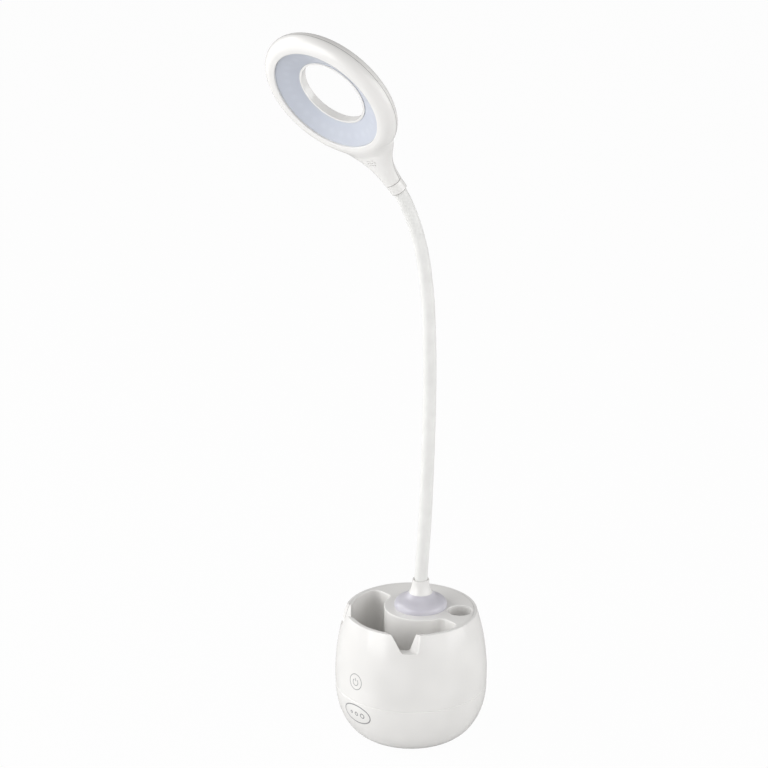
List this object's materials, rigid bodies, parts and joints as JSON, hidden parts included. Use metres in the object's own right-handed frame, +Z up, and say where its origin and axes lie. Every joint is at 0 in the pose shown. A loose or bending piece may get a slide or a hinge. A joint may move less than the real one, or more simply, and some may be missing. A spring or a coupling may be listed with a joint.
{
  "type": "desk lamp with organizer base",
  "caption": "LED desk lamp: ring head with conical diffuser on a bendable gooseneck, standing on a barrel-shaped pen pot with phone notches, pen hole and night light.",
  "frame": {"origin": "centre of the foot pad's underside, on the pot's axis at desk level", "axes": "+Z up along the pot's axis; -Y is the front, where the touch mark is and the light faces; +X is to the right seen from behind the front, so the pen hole lies at +X +Y"},
  "size_m": [0.1371, 0.134, 0.5341],
  "materials": {
    "shell_white": "glossy injection-moulded ABS",
    "sleeve_white": "satin silicone sleeve",
    "diffuser_milky": "milky translucent, fine satin",
    "dome_frosted": "frosted translucent",
    "foot_rubber": "matte",
    "steel": "turned and zinc plated",
    "copper": "bare sheet",
    "cell_wrap": "shrink wrap",
    "inner_plastic": "moulded",
    "circuit_board": "solder mask",
    "board_white": "white solder mask",
    "led_body": "phosphor filled resin"
  },
  "bodies": {
    "base": {"pot_upper": "shell_white", "pot_insert": "shell_white", "pot_bottom": "shell_white", "foot_pad": "foot_rubber", "bottom_screws": "steel", "ballast_disc": "steel", "battery_cell": "cell_wrap", "battery_cradle": "inner_plastic", "control_board": "circuit_board", "charge_board": "circuit_board", "charge_socket": "steel", "touch_sensor": "copper", "night_light_board": "board_white", "night_light_leds": "led_body", "night_light_dome": "dome_frosted", "neck_boot": "shell_white", "neck_fitting": "steel", "neck_washer": "steel", "neck_nut": "steel", "neck_root": "sleeve_white"},
    "stretch_1": {"neck_sleeve_1": "sleeve_white", "neck_core_1": "steel"},
    "stretch_2": {"neck_sleeve_2": "sleeve_white", "neck_core_2": "steel"},
    "stretch_3": {"neck_sleeve_3": "sleeve_white", "neck_core_3": "steel"},
    "stretch_4": {"neck_sleeve_4": "sleeve_white", "neck_core_4": "steel"},
    "stretch_5": {"neck_sleeve_5": "sleeve_white", "neck_core_5": "steel"},
    "stretch_6": {"neck_sleeve_6": "sleeve_white", "neck_core_6": "steel"},
    "stretch_7": {"neck_sleeve_7": "sleeve_white", "neck_core_7": "steel"},
    "stretch_8": {"neck_sleeve_8": "sleeve_white", "neck_core_8": "steel"},
    "head": {"neck_tail": "sleeve_white", "ferrule": "shell_white", "head_bezel": "shell_white", "head_cover": "shell_white", "head_screws": "steel", "diffuser": "diffuser_milky", "led_board": "board_white", "led_chips": "led_body"}
  },
  "joints": [
    {"name": "bend_1_forward", "type": "hinge", "parent": "base", "child": "stretch_1", "pos_m": [0, 0.0094, 0.122], "axis": [0.891, -0.454, 0], "range_deg": [-22, 22]},
    {"name": "bend_2_side", "type": "hinge", "parent": "stretch_1", "child": "stretch_2", "pos_m": [0.00128, 0.01192, 0.15789], "axis": [-0.4532, -0.8894, 0.0597], "range_deg": [-20, 20]},
    {"name": "bend_3_forward", "type": "hinge", "parent": "stretch_2", "child": "stretch_3", "pos_m": [0.00195, 0.01323, 0.19386], "axis": [0.891, -0.454, 0], "range_deg": [-22, 22]},
    {"name": "bend_4_side", "type": "hinge", "parent": "stretch_3", "child": "stretch_4", "pos_m": [0.00249, 0.0143, 0.22984], "axis": [-0.4538, -0.8907, 0.0262], "range_deg": [-20, 20]},
    {"name": "bend_5_forward", "type": "hinge", "parent": "stretch_4", "child": "stretch_5", "pos_m": [0.00281, 0.01491, 0.26583], "axis": [0.891, -0.454, 0], "range_deg": [-22, 22]},
    {"name": "bend_6_side", "type": "hinge", "parent": "stretch_5", "child": "stretch_6", "pos_m": [0.00266, 0.01463, 0.30183], "axis": [-0.4538, -0.8907, -0.0266], "range_deg": [-20, 20]},
    {"name": "bend_7_forward", "type": "hinge", "parent": "stretch_6", "child": "stretch_7", "pos_m": [0.00194, 0.0132, 0.3378], "axis": [0.891, -0.454, 0], "range_deg": [-22, 22]},
    {"name": "bend_8_side", "type": "hinge", "parent": "stretch_7", "child": "stretch_8", "pos_m": [-0.00034, 0.00874, 0.37345], "axis": [-0.4421, -0.8676, -0.2275], "range_deg": [-20, 20]},
    {"name": "bend_9_forward", "type": "hinge", "parent": "stretch_8", "child": "head", "pos_m": [-0.00547, -0.00133, 0.40762], "axis": [0.891, -0.454, 0], "range_deg": [-22, 22]}
  ]
}
